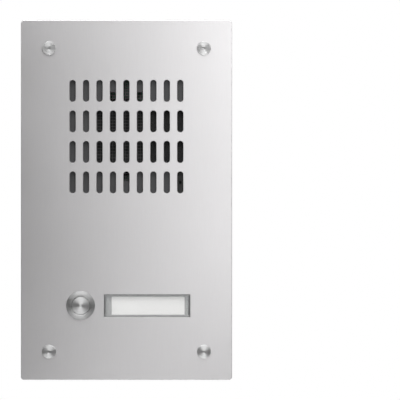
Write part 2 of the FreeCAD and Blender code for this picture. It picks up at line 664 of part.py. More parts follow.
def make_mic_leads():
    start, straight = Y_BAFFLE + 1 + CAPSULE_H, 5.0
    pad_z = MIC_Z + 2
    leads = []
    for side in (-1, 1):
        x = MIC_X + side * 1.3
        leads.append(lead([(x, start, MIC_Z), (x, start + straight, MIC_Z),
                           (x, BOARD_FRONT - straight, pad_z), (x, BOARD_FRONT, pad_z)]))
    return Part.makeCompound(leads)


# ---- circuit board and its components ----------------------------------------------------------
def make_circuit_board():
    board = block(-BOARD_HALF_W, BOARD_HALF_W, BOARD_FRONT, BOARD_REAR, BOARD_Z0, BOARD_Z1)
    return all_cut(board, [rod(x, z, BOARD_FRONT - 1, BOARD_REAR + 1, M3_BORE_R) for x, z in boss_places()])


def terminal_xs():
    return [(way - (TERMINAL_WAYS - 1) / 2) * TERMINAL_PITCH for way in range(TERMINAL_WAYS)]


def make_terminal_block():
    """Screw terminals: a round well for each screw, and a square mouth for its wire in the top end."""
    half = TERMINAL_PITCH * TERMINAL_WAYS / 2
    well_r, mouth, mouth_low, depth = 2.0, 3.0, 1.5, 4.0
    body = block(-half, half, BOARD_REAR, TERMINAL_TOP, TERMINAL_Z0, TERMINAL_Z1)
    tools = []
    for x in terminal_xs():
        tools.append(rod(x, TERMINAL_SCREW_Z, TERMINAL_TOP - depth, TERMINAL_TOP + 1, well_r))
        low = BOARD_REAR + mouth_low
        tools.append(block(x - mouth / 2, x + mouth / 2, low, low + mouth + 0.5,
                           TERMINAL_Z1 - depth, TERMINAL_Z1 + 1))
    return all_cut(body, tools)


def make_terminal_screws():
    radius, low, high = 1.9, TERMINAL_TOP - 4, TERMINAL_TOP - 1
    screws = []
    for x in terminal_xs():
        screw = rod(x, TERMINAL_SCREW_Z, low, high, radius)
        screws.append(screw.cut(block_at(x, TERMINAL_SCREW_Z, 5, 0.7, high - 1, high + 1)))
    return Part.makeCompound(screws)


def make_line_transformer():
    """Laminated core with the winding through its two windows."""
    x, z, size, height = 31.0, 63.0, 14.0, 12.0
    front = BOARD_FRONT - height
    core = block_at(x, z, size, size - 3, front, BOARD_FRONT)
    windows = [block_at(x + side * 3.75, z, 2.5, size, front + 2, BOARD_FRONT - 2) for side in (-1, 1)]
    core = all_cut(core, windows)
    coil = block_at(x, z, 10, size, front + 2, BOARD_FRONT - 2).cut(
        block_at(x, z, 5, size - 3, front + 1, BOARD_FRONT - 1))
    return Part.makeCompound([core, coil])


def make_door_relay():
    relay = block_at(20, 15, 19, 15.5, BOARD_REAR, BOARD_REAR + 11)
    top_edges = [e for e in relay.Edges if e.BoundBox.YMin > BOARD_REAR + 10]
    return relay.makeChamfer(0.6, top_edges)


def make_capacitors():
    radius, height, pinch = 4.0, 11.0, 0.4
    cans = []
    for x, z in ((30, 36), (30, 47), (-30, 56), (-30, 45)):
        top = BOARD_REAR + height
        profile = [(0, BOARD_REAR), (radius, BOARD_REAR), (radius, BOARD_REAR + 1.5),
                   (radius - pinch, BOARD_REAR + 2.0), (radius, BOARD_REAR + 2.5),
                   (radius, top - 0.5), (radius - 0.5, top), (0, top)]
        cans.append(turned(x, z, profile))
    return Part.makeCompound(cans)


def make_chips():
    """Two dual-in-line amplifiers with eight legs a side."""
    length, width, leg_pitch, legs = 20.0, 6.5, 2.54, 8
    leg_low, leg_high, leg_reach = BOARD_REAR + 1.8, BOARD_REAR + 2.2, 0.7
    chips = []
    for z in (36.0, 54.0):
        pieces = [block_at(0, z, length, width, BOARD_REAR + 0.6, BOARD_REAR + 3.9)]
        for leg in range(legs):
            x = (leg - (legs - 1) / 2) * leg_pitch
            pieces.append(block_at(x, z, 1.2, width + 2 * leg_reach, leg_low, leg_high))
            for side in (-1, 1):
                leg_z = z + side * (width / 2 + leg_reach - 0.15)
                pieces.append(block_at(x, leg_z, 0.6, 0.3, BOARD_REAR, leg_high))
        chip = joined(pieces)
        chips.append(chip.cut(rod(-length / 2, z, BOARD_REAR + 3.2, BOARD_REAR + 5, 1)))
    return Part.makeCompound(chips)


def make_trimmer_bodies():
    top = BOARD_REAR + TRIMMER_H
    bodies = []
    for x in TRIMMERS_X:
        body = block_at(x, TRIMMER_Z, TRIMMER_BODY, TRIMMER_BODY, BOARD_REAR, top)
        bodies.append(body.cut(rod(x, TRIMMER_Z, top - ROTOR_SEAT, top + 1, ROTOR_BORE_R)))
    return Part.makeCompound(bodies)


def make_rotor(x):
    """Trimmer rotor with an arrow-like screwdriver slot: one long arm and a short one across it."""
    low = BOARD_REAR + TRIMMER_H - ROTOR_SEAT
    high = BOARD_REAR + TRIMMER_H + 0.5
    rotor = rod(x, TRIMMER_Z, low, high, ROTOR_R)
    slots = [block_at(x, TRIMMER_Z, 0.6, 3.8, high - 0.9, high + 1),
             block_at(x, TRIMMER_Z + 0.6, 2.4, 0.6, high - 0.9, high + 1)]
    return all_cut(rotor, slots)


def make_lead_sockets():
    """Three plug sockets: two at the board's lower edge and one in front, beside the loudspeaker."""
    depth, notch_w, notch_depth = 6.0, 2.4, 0.8
    top = BOARD_REAR + depth
    centre_z = BOARD_Z0 + depth / 2
    sockets = []
    for x in SOCKETS_X:
        body = block_at(x, centre_z, SOCKET_W, depth, BOARD_REAR, top)
        notch = block_at(x, centre_z - 2, notch_w, depth, top - notch_depth, top + 1)
        sockets.append(body.cut(notch))
    sockets.append(block_at(SPEAKER_SOCKET_X, SPEAKER_Z, 4.5, depth, BOARD_FRONT - depth, BOARD_FRONT))
    return Part.makeCompound(sockets)


# ---- call button -------------------------------------------------------------------------------
def make_button_bezel():
    """Turned bezel and threaded barrel in one piece, bored for the cap and for the switch."""
    top = Y_FRONT - BEZEL_H
    crest_r, lip, fall = 6.95, 0.8, 0.9
    seat_in, seat_out, seat = 8.2, 8.9, 0.6
    thread_depth, thread_pitch = 0.3, 1.0
    profile = [(BUTTON_BORE_R, SHOULDER), (BUTTON_BORE_R, top + lip), (crest_r, top),
               (BEZEL_R, top + fall), (BEZEL_R, Y_FRONT), (seat_out, Y_FRONT),
               (seat_out, Y_FRONT - seat), (seat_in, Y_FRONT - seat), (seat_in, Y_FRONT),
               (BARREL_R, Y_FRONT), (BARREL_R, Y_BACK)]
    arcs = [falling_arc(1, crest_r, BUTTON_BORE_R, top, lip), falling_arc(2, crest_r, BEZEL_R, top, fall)]
    turns = int((BARREL_END - Y_BACK) / thread_pitch)
    for turn in range(turns):
        y = Y_BACK + turn * thread_pitch
        profile.append((BARREL_R - thread_depth, y + thread_pitch / 2))
        profile.append((BARREL_R, y + thread_pitch))
    profile += [(BARREL_BORE_R, BARREL_END), (BARREL_BORE_R, SHOULDER)]
    return turned(BUTTON_X, BUTTON_Z, profile, arcs)


def make_button_seal():
    return ring(BUTTON_X, BUTTON_Z, Y_FRONT - 0.58, Y_FRONT, 8.22, 8.88)


def make_button_washer():
    """Toothed lock washer under the nut."""
    thick, teeth, outer_r = 0.8, 12, 10.6
    washer = ring(BUTTON_X, BUTTON_Z, Y_BACK, Y_BACK + thick, BARREL_R + 0.15, outer_r)
    notches = []
    for tooth in range(teeth):
        notch = block(outer_r - 1, outer_r + 1, Y_BACK - 1, Y_BACK + 2, -0.6, 0.6)
        notch.rotate(vec(0, 0, 0), ALONG_Y, 360 / teeth * tooth)
        notches.append(notch.translated(vec(BUTTON_X, 0, BUTTON_Z)))
    return all_cut(washer, notches)


def make_button_nut():
    across_flats, height = 19.0, 3.5
    low = Y_BACK + 0.8
    nut = hexagon(BUTTON_X, BUTTON_Z, across_flats, low, low + height)
    return nut.cut(rod(BUTTON_X, BUTTON_Z, low - 1, low + height + 1, BARREL_R + 0.05))


def make_button_cap():
    """Plunger: domed cap, O-ring groove, collar that the bore's shoulder stops, and stem."""
    crown, dome, edge = Y_FRONT - BEZEL_H + 0.2, 0.35, 0.7
    dome_r = CAP_R - edge
    rim = crown + dome
    groove_front, groove_rear = Y_FRONT - 0.1, Y_FRONT + 0.7
    collar_rear = SHOULDER + COLLAR_T
    stem_end = SWITCH_FRONT + 2.2
    profile = [(0, crown), (dome_r, rim), (CAP_R, rim + edge), (CAP_R, groove_front),
               (GROOVE_R, groove_front), (GROOVE_R, groove_rear), (CAP_R, groove_rear),
               (CAP_R, SHOULDER), (COLLAR_R, SHOULDER), (COLLAR_R, collar_rear),
               (STEM_R, collar_rear), (STEM_R, stem_end), (0, stem_end)]
    arcs = [falling_arc(0, 0, dome_r, crown, dome), falling_arc(1, dome_r, CAP_R, rim, edge)]
    return turned(BUTTON_X, BUTTON_Z, profile, arcs)


def make_button_oring():
    return ring(BUTTON_X, BUTTON_Z, Y_FRONT - 0.05, Y_FRONT + 0.65, GROOVE_R + 0.02, CAP_R + 0.04)


def make_button_spring():
    """Four-turn compression spring between the plunger's collar and the switch."""
    wire_r, coil_r, turns, arcs_a_turn = 0.35, 4.2, 4, 4
    start = SHOULDER + COLLAR_T + wire_r + 0.05
    rise = (SWITCH_FRONT - wire_r - 0.05 - start) / turns

    def on_coil(turn):
        x = BUTTON_X + coil_r * math.cos(2 * math.pi * turn)
        z = BUTTON_Z + coil_r * math.sin(2 * math.pi * turn)
        return vec(x, start + rise * turn, z)

    edges = []
    for index in range(turns * arcs_a_turn):
        first, middle, last = [on_coil((index + part) / arcs_a_turn) for part in (0, 0.5, 1)]
        edges.append(Part.Arc(first, middle, last).toShape())
    along = vec(0, rise / (2 * math.pi), coil_r)
    section = Part.Wire([Part.makeCircle(wire_r, on_coil(0), along)])
    return Part.Wire(edges).makePipeShell([section], True, False)


def make_button_switch():
    """Switch insert, potted in the barrel's rear, with a guide hole for the stem."""
    body = rod(BUTTON_X, BUTTON_Z, SWITCH_FRONT, BARREL_END + 1.5, BARREL_BORE_R - 0.05)
    return body.cut(rod(BUTTON_X, BUTTON_Z, SWITCH_FRONT - 1, SWITCH_FRONT + 4.6, STEM_R + 0.08))


def make_button_pins():
    rear = BARREL_END + 1.5
    return Part.makeCompound([block_at(BUTTON_X + side * 3, BUTTON_Z, 0.6, 2.8, rear, rear + 5.5)
                              for side in (-1, 1)])


def make_button_leads():
    pin_end = BARREL_END + 7.0
    socket_y = BOARD_REAR + 3
    leads = []
    for side in (-1, 1):
        x = BUTTON_X + side * 3
        socket_x = SOCKETS_X[0] + side * 1.2
        leads.append(lead([(x, pin_end, BUTTON_Z), (x, pin_end + 11, BUTTON_Z),
                           (x + 3, pin_end + 12, BUTTON_Z + 19),
                           (socket_x, socket_y, BUTTON_Z + 39), (socket_x, socket_y, BOARD_Z0)]))
    return Part.makeCompound(leads)


# ---- name window -------------------------------------------------------------------------------
def make_name_lens():
    """Clear block in the cut-out, with two flat legs at its ends that grip the holder."""
    recess, bevel = 0.2, 0.25
    front = Y_FRONT + recess
    rear = Y_BACK - LABEL_T - LABEL_GAP
    lens = block_at(NAME_X, NAME_Z, NAME_W - 2 * NAME_GAP, NAME_H - 2 * NAME_GAP, front, rear)
    rim = [edge for edge in lens.Edges if edge.BoundBox.YMax < front + 0.01]
    lens = lens.makeChamfer(bevel, rim)
    legs = [block_at(NAME_X + side * LEG_X, NAME_Z, LEG_T, LEG_H, rear, rear + LEG_LENGTH)
            for side in (-1, 1)]
    return joined([lens] + legs)


def make_name_label():
    x = NAME_X + LABEL_OFFSET
    return block_at(x, NAME_Z, LABEL_W, LABEL_H, Y_BACK - LABEL_T, Y_BACK)


def make_name_holder():
    """Tray behind the cut-out: light opening, walls, posts for the lamp board, leg pockets and ears."""
    width, height, wall, rear = 59.0, 21.0, COVER_WALL, Y_BACK + 8.0
    post, post_inset = 4.0, 3.0
    pocket_wall, pocket_depth = 0.8, 5.5
    front, behind = Y_BACK - 1, Y_BACK + wall + 1
    outer = rounded_plate(NAME_X, NAME_Z, width, height, 1.5, Y_BACK, rear)
    hollow = block_at(NAME_X, NAME_Z, width - 2 * wall, height - 2 * wall, Y_BACK + wall, rear + 1)
    ears = rounded_plate(NAME_X, NAME_Z, 10, 2 * NAME_STUD_OFFSET + 9, 3, Y_BACK, Y_BACK + wall)
    pieces = [outer.cut(hollow), ears]
    for sx, sz in CORNERS:
        post_x = NAME_X + sx * (width / 2 - post_inset)
        post_z = NAME_Z + sz * (height / 2 - post_inset)
        pieces.append(block_at(post_x, post_z, post, post, Y_BACK, LAMP_BOARD_FRONT))
    tools = [block_at(NAME_X, NAME_Z, LIGHT_W, LIGHT_H, front, behind)]
    for side in (-1, 1):
        leg_x = NAME_X + side * LEG_X
        boss_w = LEG_T + 2 * (LEG_GAP + pocket_wall)
        pieces.append(block_at(leg_x, NAME_Z, boss_w, LEG_H + 2, Y_BACK, LAMP_BOARD_FRONT))
        tools.append(block_at(leg_x, NAME_Z, LEG_T + 2 * LEG_GAP, LEG_H + 2 * LEG_GAP,
                              front, Y_BACK + pocket_depth))
        tools.append(rod(NAME_X, NAME_Z + side * NAME_STUD_OFFSET, front, behind, M3_HOLE_R))
    return all_cut(joined(pieces), tools)


def make_name_diffuser():
    return block_at(NAME_X, NAME_Z, LIGHT_W - 0.1, LIGHT_H - 0.1, Y_BACK, Y_BACK + COVER_WALL)


def make_light_board():
    return block_at(NAME_X, NAME_Z, 55.8, 17.8, LAMP_BOARD_FRONT, LAMP_BOARD_FRONT + LAMP_BOARD_T)


def make_name_lamps():
    """Three light-emitting diodes with their series resistors."""
    height, well_depth, pitch = 1.9, 0.5, 15.0
    top = LAMP_BOARD_FRONT - height
    lamps = []
    for x in (NAME_X - pitch, NAME_X, NAME_X + pitch):
        package = block_at(x, NAME_Z, 3.5, 2.8, top, LAMP_BOARD_FRONT)
        lamps.append(package.cut(rod(x, NAME_Z, top - 1, top + well_depth, 1.1)))
        lamps.append(block_at(x + pitch / 3, NAME_Z, 2.0, 1.2, LAMP_BOARD_FRONT - 0.6, LAMP_BOARD_FRONT))
    return Part.makeCompound(lamps)


def make_light_leads():
    start = LAMP_BOARD_FRONT + LAMP_BOARD_T
    socket_y = BOARD_REAR + 3
    leads = []
    for side in (-1, 1):
        x = -6.0 + side * 1.2
        socket_x = SOCKETS_X[1] + side * 1.2
        leads.append(lead([(x, start, NAME_Z), (x, start + 15, NAME_Z), (x - 2, start + 24, NAME_Z + 18),
                           (socket_x, socket_y, NAME_Z + 39), (socket_x, socket_y, BOARD_Z0)]))
    return Part.makeCompound(leads)


# ---- all sub-parts -----------------------------------------------------------------------------
SUBPARTS = {
    "front_panel": make_front_panel,
    "panel_screws": make_panel_screws,
    "panel_seal": make_panel_seal,
    "wall_box": make_wall_box,
    "box_pillars": make_box_pillars,
    "cable_grommet": make_cable_grommet,
    "weld_studs": make_weld_studs,
    "stud_washers": make_stud_washers,
    "stud_nuts": make_stud_nuts,
    "module_baffle": make_module_baffle,
    "sound_mesh": make_sound_mesh,
    "absorber_pad": make_absorber_pad,
    "module_cover": make_module_cover,
    "module_screws": make_module_screws,
    "speaker_gasket": make_speaker_gasket,
    "speaker_screws": make_speaker_screws,
    "speaker_basket": make_speaker_basket,
    "speaker_surround": make_speaker_surround,
    "speaker_cone": make_speaker_cone,
    "dust_cap": make_dust_cap,
    "voice_coil": make_voice_coil,
    "speaker_spider": make_speaker_spider,
    "speaker_top_plate": make_speaker_top_plate,
    "speaker_magnet": make_speaker_magnet,
    "speaker_yoke": make_speaker_yoke,
    "speaker_tags": make_speaker_tags,
    "speaker_leads": make_speaker_leads,
    "mic_boot": make_mic_boot,
    "microphone": make_microphone,
    "mic_leads": make_mic_leads,
    "circuit_board": make_circuit_board,
    "terminal_block": make_terminal_block,
    "terminal_screws": make_terminal_screws,
    "line_transformer": make_line_transformer,
    "door_relay": make_door_relay,
    "capacitors": make_capacitors,
    "chips": make_chips,
    "trimmer_bodies": make_trimmer_bodies,
    "speaker_volume_rotor": lambda: make_rotor(TRIMMERS_X[0]),
    "mic_volume_rotor": lambda: make_rotor(TRIMMERS_X[1]),
    "lead_sockets": make_lead_sockets,
    "button_bezel": make_button_bezel,
    "button_seal": make_button_seal,
    "button_washer": make_button_washer,
    "button_nut": make_button_nut,
    "button_cap": make_button_cap,
    "button_oring": make_button_oring,
    "button_spring": make_button_spring,
    "button_switch": make_button_switch,
    "button_pins": make_button_pins,
    "button_leads": make_button_leads,
    "name_lens": make_name_lens,
    "name_label": make_name_label,
    "name_holder": make_name_holder,
    "name_diffuser": make_name_diffuser,
    "light_board": make_light_board,
    "name_lamps": make_name_lamps,
    "light_leads": make_light_leads,
}

os.makedirs("parts", exist_ok=True)
for node, make in SUBPARTS.items():
    shape = make()
    shape.exportStep(os.path.join("parts", node + ".step"))
    print(node, len(shape.Solids), round(shape.Volume, 2), shape.isValid())
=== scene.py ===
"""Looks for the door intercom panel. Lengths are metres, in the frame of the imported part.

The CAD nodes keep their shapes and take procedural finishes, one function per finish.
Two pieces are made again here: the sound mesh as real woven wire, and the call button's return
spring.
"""

import json
import math

import bmesh
import bpy
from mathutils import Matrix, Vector


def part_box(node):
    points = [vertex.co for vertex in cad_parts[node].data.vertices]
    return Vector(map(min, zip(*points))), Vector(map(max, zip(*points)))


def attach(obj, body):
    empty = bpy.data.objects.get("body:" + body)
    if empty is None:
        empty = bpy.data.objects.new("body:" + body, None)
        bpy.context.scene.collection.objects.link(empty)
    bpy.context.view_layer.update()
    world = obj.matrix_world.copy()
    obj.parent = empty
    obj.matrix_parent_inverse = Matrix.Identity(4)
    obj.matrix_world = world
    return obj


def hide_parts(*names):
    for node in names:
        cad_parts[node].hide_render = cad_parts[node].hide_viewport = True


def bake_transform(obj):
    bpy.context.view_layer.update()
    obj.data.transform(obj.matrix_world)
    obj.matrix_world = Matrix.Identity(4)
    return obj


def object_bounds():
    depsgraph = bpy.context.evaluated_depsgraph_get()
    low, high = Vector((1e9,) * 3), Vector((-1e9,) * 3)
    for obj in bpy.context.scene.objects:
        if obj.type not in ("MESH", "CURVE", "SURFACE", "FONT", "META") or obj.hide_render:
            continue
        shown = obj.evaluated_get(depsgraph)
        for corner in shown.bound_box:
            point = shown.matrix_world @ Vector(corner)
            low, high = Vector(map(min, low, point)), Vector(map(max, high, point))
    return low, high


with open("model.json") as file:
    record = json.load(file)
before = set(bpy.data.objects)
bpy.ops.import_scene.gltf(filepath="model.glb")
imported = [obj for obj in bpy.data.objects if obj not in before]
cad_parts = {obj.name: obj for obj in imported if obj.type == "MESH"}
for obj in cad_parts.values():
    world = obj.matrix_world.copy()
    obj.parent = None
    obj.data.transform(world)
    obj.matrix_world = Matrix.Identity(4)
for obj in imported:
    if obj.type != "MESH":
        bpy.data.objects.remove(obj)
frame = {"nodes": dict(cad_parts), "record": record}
cad_low, cad_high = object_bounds()

MM = 0.001

# Camera: square on to the panel, with the panel left of the middle of the frame.
CAMERA_DISTANCE = 2.0
CAMERA_X = 0.047
FRAME_WIDTH = 0.2556
SENSOR_WIDTH = 36.0
NEAREST_SEEN = 0.05
FARTHEST_SEEN = 50

# Studio. Each light is (name, place, width, height, radiance).
FLOOR_Z = -0.17
FLOOR_REACH = 0.6
FLOOR_SOLID = 0.2                              # it starts to fade at this distance
WORLD_SEEN = 1.0
WORLD_GREY = 0.06
LIGHTS = (
    ("left_panel", (-0.46, -0.45, 0.42), 0.32, 0.44, 4.5),
    ("dim_panel", (0.0, -0.45, 0.0), 0.12, 0.70, 0.9),
    ("middle_panel", (0.12, -0.45, 0.115), 0.12, 0.47, 2.0),
    ("ceiling_panel", (0.24, -0.45, 0.575), 0.60, 0.25, 4.6),
    ("right_panel", (0.36, -0.45, 0.235), 0.36, 0.23, 2.8),
    ("upper_left_softbox", (-0.25, -0.80, 0.75), 0.5, 0.4, 6.0),
    ("upper_right_softbox", (0.30, -0.80, 0.75), 0.5, 0.4, 2.2),
    ("top_softbox", (-0.05, -0.50, 1.30), 1.2, 0.5, 4.5),
    ("rear_softbox", (0.0, 1.80, 0.50), 1.6, 1.4, 1.8),
    ("left_rear_softbox", (-1.50, 0.55, 0.35), 1.4, 1.4, 1.5),
    ("right_rear_softbox", (1.50, 0.55, 0.35), 1.4, 1.4, 1.5),
)

# Lathe-turned parts: where their axes are.
BUTTON_AXIS = (-0.0293, -0.0675)
SCREW_AXES = (0.0495, 0.097)

# The felt on the microphone's face, and in its port, is in front of this depth.
MICROPHONE_FELT_BACK = -0.0434


# ---------------------------------------------------------------------------
# Building shaders


class Finish:
    """A material with one Principled shader, built up node by node."""

    def __init__(self, name, colour, roughness, metallic=0.0, **values):
        self.material = bpy.data.materials.new(name)
        self.material.use_nodes = True
        self.material.diffuse_color = (*colour, 1)
        self.tree = self.material.node_tree
        self.shader = self.tree.nodes["Principled BSDF"]
        self.set("Base Color", (*colour, 1))
        self.set("Roughness", roughness)
        self.set("Metallic", metallic)
        for key, value in values.items():
            self.set(key.replace("_", " ").title().replace("Ior", "IOR"), value)
        self.at = self.node("ShaderNodeTexCoord").outputs["Object"]
        self.normal = None

    def set(self, name, value):
        """Gives one input of the shader a plain value or a link."""
        self.fill(self.shader, name, value)

    def fill(self, node, name, value):
        """Gives one input of any node a plain value or a link."""
        if isinstance(value, bpy.types.NodeSocket):
            self.tree.links.new(value, node.inputs[name])
        else:
            node.inputs[name].default_value = value

    def node(self, kind, inputs=None, **settings):
        made = self.tree.nodes.new(kind)
        for key, value in settings.items():
            setattr(made, key, value)
        for key, value in (inputs or {}).items():
            self.fill(made, key, value)
        return made

    def stretched(self, x, y, z, at=None):
        """The place on the object, with each axis scaled by itself."""
        inputs = {"Vector": at or self.at, "Scale": (x, y, z)}
        return self.node("ShaderNodeMapping", inputs).outputs["Vector"]

    def noise(self, scale, detail=2.0, at=None, uneven=0.0):
        inputs = {"Vector": at or self.at, "Scale": scale, "Detail": detail, "Distortion": uneven}
        return self.node("ShaderNodeTexNoise", inputs).outputs["Fac"]

    def cells(self, scale, output="Distance", feature="F1", at=None, distance="EUCLIDEAN"):
        inputs = {"Vector": at or self.at, "Scale": scale}
        settings = {"feature": feature}
        if feature != "DISTANCE_TO_EDGE":
            settings["distance"] = distance
        return self.node("ShaderNodeTexVoronoi", inputs, **settings).outputs[output]

    def bands(self, axis, pitch, uneven=0.0, at=None):
        """Straight ridges across one axis, one every pitch, as a wave from 0 to 1."""
        waves_per_metre = 1 / pitch
        inputs = {
            "Vector": at or self.at,
            "Scale": waves_per_metre * math.pi / 10,
            "Distortion": uneven,
        }
        wave = self.node("ShaderNodeTexWave", inputs, bands_direction=axis)
        return wave.outputs["Fac"]

    def maths(self, operation, first, second=0.0):
        """Arithmetic on one or two values, by the operation's name."""
        made = self.node("ShaderNodeMath", operation=operation)
        self.fill(made, 0, first)
        self.fill(made, 1, second)
        return made.outputs[0]

    def span(self, value, low, high, start=0.0, end=1.0):
        """The value from start to end, turned into a value from low to high."""
        inputs = {"Value": value, "From Min": start, "From Max": end, "To Min": low, "To Max": high}
        return self.node("ShaderNodeMapRange", inputs).outputs["Result"]

    def mix(self, share, first, second):
        """One colour turning into another as share goes from 0 to 1."""
        made = self.node("ShaderNodeMix", data_type="RGBA")
        self.fill(made, 0, share)
        for place, colour in ((6, first), (7, second)):
            if not isinstance(colour, bpy.types.NodeSocket):
                colour = (*colour, 1)
            self.fill(made, place, colour)
        return made.outputs[2]

    def tones(self, share, colour, spread):
        """The colour, from darker to lighter by the spread as share goes from 0 to 1."""
        darker = tuple(channel * (1 - spread) for channel in colour)
        lighter = tuple(min(1.0, channel * (1 + spread)) for channel in colour)
        return self.mix(share, darker, lighter)

    def relief(self, height, depth, strength=1.0):
        """Adds a bump of that depth, on top of any made before."""
        inputs = {"Height": height, "Distance": depth, "Strength": strength}
        if self.normal:
            inputs["Normal"] = self.normal
        self.normal = self.node("ShaderNodeBump", inputs).outputs["Normal"]
        self.set("Normal", self.normal)


# ---------------------------------------------------------------------------
# Metals


def satin_plate():
    """Ground stainless sheet: fine upright grain and a faintly cloudy sheen."""
    colour = (0.606, 0.597, 0.603)
    f = Finish("satin_plate", colour, 0.36, 1.0)
    grain = f.noise(1, 2, f.stretched(9000, 9000, 140))
    hairlines = f.noise(1, 1, f.stretched(30000, 30000, 420))
    clouds = f.noise(16, 2)
    marks = f.maths("MULTIPLY", f.maths("ADD", grain, hairlines), 0.5)
    f.set("Base Color", f.tones(f.span(marks, 0, 1, 0.3, 0.7), colour, 0.035))
    rough = f.maths("ADD", f.span(marks, 0.34, 0.38, 0.3, 0.7), f.span(clouds, -0.012, 0.012, 0.3, 0.7))
    f.set("Roughness", rough)
    f.relief(marks, 0.004 * MM)
    return f.material


def turned_steel(name, centre_of, colour=(0.66, 0.66, 0.66)):
    """Stainless faced in a lathe: rings about the axis spread the highlight outwards from it."""
    f = Finish(name, colour, 0.55, 1.0, anisotropic=1.0, anisotropic_rotation=0.25)
    parts = f.node("ShaderNodeSeparateXYZ", {"Vector": f.at})
    across, up = centre_of(f, parts.outputs["X"], parts.outputs["Z"])
    around = f.node("ShaderNodeCombineXYZ", {"X": f.maths("MULTIPLY", up, -1.0), "Z": across})
    f.set("Tangent", around.outputs["Vector"])
    square = f.maths("ADD", f.maths("MULTIPLY", across, across), f.maths("MULTIPLY", up, up))
    radius = f.maths("SQRT", square)
    outwards = f.node("ShaderNodeCombineXYZ", {"X": radius, "Y": parts.outputs["Y"]}).outputs["Vector"]
    rings = f.noise(1, 2, f.stretched(7000, 3000, 1, outwards))
    fine_rings = f.bands("X", 0.14 * MM, 1.2, outwards)
    scuffs = f.noise(900, 3)
    f.set("Base Color", f.tones(f.span(rings, 0, 1, 0.3, 0.7), colour, 0.05))
    f.set("Roughness", f.span(f.maths("ADD", rings, scuffs), 0.52, 0.58, 0.7, 1.3))
    f.relief(rings, 0.006 * MM)
    f.relief(fine_rings, 0.0012 * MM)
    return f.material


def about_button(f, x, z):
    """Distances across and up from the button's axis."""
    return f.maths("SUBTRACT", x, BUTTON_AXIS[0]), f.maths("SUBTRACT", z, BUTTON_AXIS[1])


def about_screws(f, x, z):
    """Distances across and up from the axis of the nearest panel screw."""
    offsets = []
    for value, place in ((x, SCREW_AXES[0]), (z, SCREW_AXES[1])):
        side = f.maths("SIGN", value)
        offsets.append(f.maths("SUBTRACT", value, f.maths("MULTIPLY", side, place)))
    return offsets


def plated_steel(name, colour, roughness):
    """Zinc or nickel plate over steel: slightly mottled, with draw lines and tiny pits."""
    f = Finish(name, colour, roughness, 1.0)
    mottle = f.noise(420, 3, uneven=0.6)
    draw = f.noise(1, 2, f.stretched(2600, 300, 2600))
    pits = f.cells(3200)
    f.set("Base Color", f.tones(f.span(mottle, 0, 1, 0.3, 0.7), colour, 0.10))
    f.set("Roughness", f.span(f.maths("ADD", mottle, draw), roughness - 0.07, roughness + 0.09, 0.7, 1.3))
    f.relief(draw, 0.006 * MM)
    f.relief(f.span(pits, 0, 1, 0.0, 0.25), 0.004 * MM)
    return f.material


def galvanised():
    """Hot-dip zinc: flat crystals of different greys, each with its own sheen."""
    colour = (0.50, 0.515, 0.525)
    f = Finish("galvanised", colour, 0.42, 1.0)
    bent = f.node("ShaderNodeVectorMath", operation="ADD")
    f.fill(bent, 0, f.at)
    ripple = f.node("ShaderNodeTexNoise", {"Vector": f.at, "Scale": 160.0}).outputs["Color"]
    small = f.node("ShaderNodeVectorMath", {0: ripple, 1: (0.0035, 0.0035, 0.0035)}, operation="MULTIPLY")
    f.fill(bent, 1, small.outputs["Vector"])
    crystal = f.cells(150, "Color", at=bent.outputs["Vector"])
    shade = f.node("ShaderNodeSeparateColor", {"Color": crystal})
    edge = f.cells(150, feature="DISTANCE_TO_EDGE", at=bent.outputs["Vector"])
    feather = f.noise(1, 3, f.stretched(1500, 500, 1500), 0.8)
    flat = f.maths("MULTIPLY", shade.outputs["Red"], 0.75)
    tone = f.maths("ADD", flat, f.maths("MULTIPLY", feather, 0.4))
    crystals = f.tones(tone, colour, 0.20)
    seam = f.span(edge, 0.5, 0.0, 0.0, 0.05)
    f.set("Base Color", f.mix(seam, crystals, (0.38, 0.39, 0.40)))
    f.set("Roughness", f.span(f.maths("ADD", shade.outputs["Green"], feather), 0.32, 0.52, 0.3, 1.6))
    f.relief(f.span(edge, 0, 1, 0.0, 0.08), 0.02 * MM)
    f.relief(feather, 0.012 * MM)
    return f.material


def spring_wire():
    """Drawn wire: fine lines and a brownish temper tint in places."""
    colour = (0.42, 0.42, 0.43)
    f = Finish("spring_wire", colour, 0.30, 1.0)
    temper = f.noise(260, 3)
    draw = f.noise(6500, 2)
    f.set("Base Color", f.mix(f.span(temper, 0, 0.5, 0.45, 0.75), colour, (0.33, 0.27, 0.20)))
    f.set("Roughness", f.span(draw, 0.22, 0.40, 0.3, 0.7))
    f.relief(draw, 0.004 * MM)
    return f.material


def bright_brass():
    """Stamped brass tags: roll lines, tarnish clouds and small scratches."""
    colour = (0.72, 0.52, 0.22)
    f = Finish("bright_brass", colour, 0.28, 1.0)
    tarnish = f.noise(380, 4)
    roll = f.noise(1, 2, f.stretched(900, 9000, 900))
    f.set("Base Color", f.mix(f.span(tarnish, 0, 0.6, 0.45, 0.75), colour, (0.36, 0.22, 0.09)))
    f.set("Roughness", f.span(f.maths("ADD", tarnish, roll), 0.20, 0.42, 0.7, 1.3))
    f.relief(roll, 0.004 * MM)
    return f.material


def drawn_can():
    """Drawn aluminium can: lines along the draw and a soft satin sheen."""
    colour = (0.72, 0.72, 0.73)
    f = Finish("drawn_can", colour, 0.32, 1.0)
    lines = f.noise(1, 2, f.stretched(6000, 350, 6000))
    smears = f.noise(500, 3)
    f.set("Base Color", f.tones(smears, colour, 0.07))
    f.set("Roughness", f.span(lines, 0.25, 0.42, 0.3, 0.7))
    f.relief(lines, 0.005 * MM)
    return f.material


